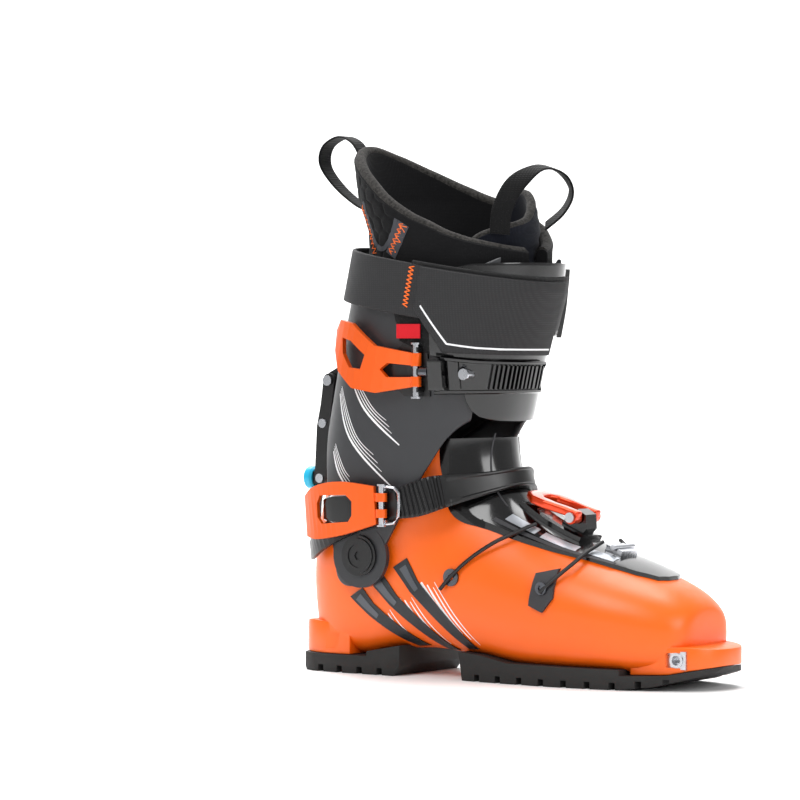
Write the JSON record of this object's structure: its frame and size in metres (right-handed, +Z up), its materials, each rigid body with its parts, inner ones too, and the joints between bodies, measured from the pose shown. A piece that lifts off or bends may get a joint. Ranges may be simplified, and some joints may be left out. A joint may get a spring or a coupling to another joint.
{
  "type": "alpine touring boot",
  "caption": "Alpine touring ski boot, right foot: moulded shell, hinged cuff with soft liner, buckles, power strap and a ski/walk lock on the spine.",
  "frame": {"origin": "on the floor under the middle of the boot's length and width", "axes": "+X from heel to toe, +Y to the inner (medial) side of this right boot, +Z up from the sole"},
  "size_m": [0.3179, 0.1252, 0.3477],
  "materials": {
    "shell_orange": "satin",
    "cuff_graphite": "satin",
    "black_plastic": "gloss",
    "sole_rubber": "matt",
    "panel_rubber": "matt",
    "inlay_plastic": "matt",
    "insert_steel": "brushed",
    "fastener_steel": "polished",
    "liner_foam": "quilted",
    "tongue_foam": "smooth",
    "webbing": "woven",
    "strap_webbing": "woven",
    "lever_orange": "anodised",
    "lever_red": "anodised gloss",
    "wire": "polished",
    "cable_sheath": "smooth",
    "bar_black": "satin",
    "spring_copper": "polished",
    "knob_cyan": "satin",
    "tag_red": "woven"
  },
  "bodies": {
    "lower": {"lower_shell": "shell_orange", "medial_panel": "panel_rubber", "lateral_inlays": "inlay_plastic", "forefoot_sole": "sole_rubber", "heel_sole": "sole_rubber", "toe_tech_insert": "insert_steel", "heel_tech_insert": "insert_steel", "heel_insert_screw": "fastener_steel", "liner_foot": "liner_foam", "shell_tongue": "black_plastic", "tongue_guide": "fastener_steel", "forefoot_buckle_base": "black_plastic", "forefoot_lever_pin": "fastener_steel", "rear_cable": "cable_sheath", "front_cable": "cable_sheath", "rear_cable_rivet": "fastener_steel", "front_cable_anchor": "black_plastic", "anchor_screw": "fastener_steel", "ankle_strap": "black_plastic", "ankle_strap_rivet": "fastener_steel", "ankle_buckle_base": "black_plastic", "ankle_bail": "wire", "ankle_lever_pin": "fastener_steel", "pivot_bolts": "bar_black", "pivot_caps": "black_plastic"},
    "cuff": {"cuff_shell": "cuff_graphite", "cuff_flap": "black_plastic", "liner_shaft": "liner_foam", "liner_tongue": "tongue_foam", "rear_pull_loop": "webbing", "front_pull_loop": "webbing", "power_strap": "strap_webbing", "strap_wing": "strap_webbing", "strap_mount": "black_plastic", "strap_mount_screw": "fastener_steel", "strap_ring": "black_plastic", "strap_tag": "tag_red", "cuff_buckle_base": "black_plastic", "cuff_lever_pin": "fastener_steel", "adjuster_barrel": "fastener_steel", "adjuster_rod": "fastener_steel", "cuff_strap": "black_plastic", "cuff_strap_rivet": "fastener_steel", "walk_bracket": "black_plastic", "bracket_screw": "fastener_steel", "bracket_pin": "fastener_steel"},
    "walk_bar": {"walk_bar": "bar_black", "walk_bar_pins": "fastener_steel", "return_spring": "spring_copper"},
    "walk_lever": {"walk_lever": "bar_black", "walk_knob": "knob_cyan"},
    "cuff_buckle_lever": {"cuff_buckle_lever": "lever_orange"},
    "ankle_buckle_lever": {"ankle_buckle_lever": "lever_orange"},
    "forefoot_buckle_lever": {"forefoot_buckle_lever": "lever_red"}
  },
  "joints": [
    {"name": "cuff_flex", "type": "hinge", "parent": "lower", "child": "cuff", "pos_m": [-0.083, 0, 0.077], "axis": [0, 1, 0], "range_deg": [-25, 8]},
    {"name": "walk_bar_swing", "type": "hinge", "parent": "cuff", "child": "walk_bar", "pos_m": [-0.135, 0, 0.188], "axis": [0, 1, 0], "range_deg": [0, 25]},
    {"name": "walk_lever_turn", "type": "hinge", "parent": "walk_bar", "child": "walk_lever", "pos_m": [-0.142, 0, 0.124], "axis": [0, 1, 0], "range_deg": [0, 38]},
    {"name": "cuff_buckle", "type": "hinge", "parent": "cuff", "child": "cuff_buckle_lever", "pos_m": [-0.034, -0.05843, 0.195], "axis": [0, 0, 1], "range_deg": [0, 100]},
    {"name": "ankle_buckle", "type": "hinge", "parent": "lower", "child": "ankle_buckle_lever", "pos_m": [-0.059, -0.0604, 0.11], "axis": [0, 0, 1], "range_deg": [0, 100]},
    {"name": "forefoot_buckle", "type": "hinge", "parent": "lower", "child": "forefoot_buckle_lever", "pos_m": [0.053, 0, 0.1035], "axis": [0, 1, 0], "range_deg": [0, 110]}
  ]
}
